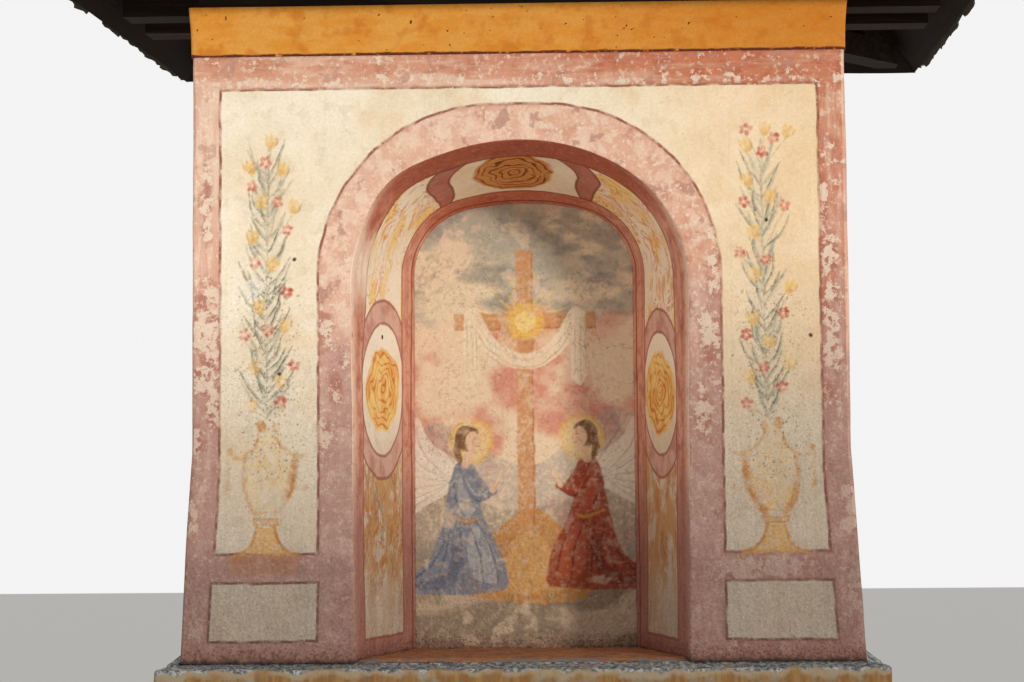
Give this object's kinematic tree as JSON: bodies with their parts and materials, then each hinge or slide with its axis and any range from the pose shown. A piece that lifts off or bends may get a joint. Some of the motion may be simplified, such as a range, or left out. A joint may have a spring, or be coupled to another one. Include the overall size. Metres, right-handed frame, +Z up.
{
  "type": "wayside shrine",
  "caption": "Plastered masonry wayside shrine on a pedestal, with an arched picture niche and a shingled hipped roof on open timber framing.",
  "frame": {"origin": "middle of the foot, at ground level", "axes": "+Z up, +Y from the niche side to the back, +X to the viewer's right when facing the niche"},
  "size_m": [2.0907, 1.378, 3.4792],
  "materials": {
    "foot_roughcast": "weathered grey cement roughcast",
    "painted_plaster": "matt lime plaster with worn cream, pink and violet paint",
    "ledge_stone": "plastered ledge, ochre in front and weathered grey along its upper edge",
    "mortar_bed": "bare reddish-brown mortar",
    "picture_plaster": "smooth matt plaster with a faded wall painting",
    "frieze_plaster": "matt ochre limewash",
    "old_timber": "dark weathered softwood, rough sawn",
    "roof_boarding": "dark rough boards",
    "shingles": "split larch shingles, weathered grey brown"
  },
  "bodies": {
    "root": {"arch_head": "painted_plaster", "back_left_dragon_joist": "old_timber", "back_left_hip_cap": "shingles", "back_left_hip_rafter": "old_timber", "back_plate": "old_timber", "back_rafters": "old_timber", "back_right_dragon_joist": "old_timber", "back_right_hip_cap": "shingles", "back_right_hip_rafter": "old_timber", "back_roof_boards": "roof_boarding", "back_shingles": "shingles", "base_plinth": "foot_roughcast", "cross_joists": "old_timber", "front_left_dragon_joist": "old_timber", "front_left_hip_cap": "shingles", "front_left_hip_rafter": "old_timber", "front_plate": "old_timber", "front_rafters": "old_timber", "front_right_dragon_joist": "old_timber", "front_right_hip_cap": "shingles", "front_right_hip_rafter": "old_timber", "front_roof_boards": "roof_boarding", "front_shingles": "shingles", "ledge_slab": "ledge_stone", "left_pier": "painted_plaster", "left_plate": "old_timber", "left_rafters": "old_timber", "left_roof_boards": "roof_boarding", "left_shingles": "shingles", "left_stub_joists": "old_timber", "niche_floor_bed": "mortar_bed", "ochre_frieze": "frieze_plaster", "pedestal": "painted_plaster", "picture_plaster": "picture_plaster", "rear_wall": "painted_plaster", "ridge_beam": "old_timber", "ridge_cap": "shingles", "right_pier": "painted_plaster", "right_plate": "old_timber", "right_rafters": "old_timber", "right_roof_boards": "roof_boarding", "right_shingles": "shingles", "right_stub_joists": "old_timber"}
  },
  "joints": []
}
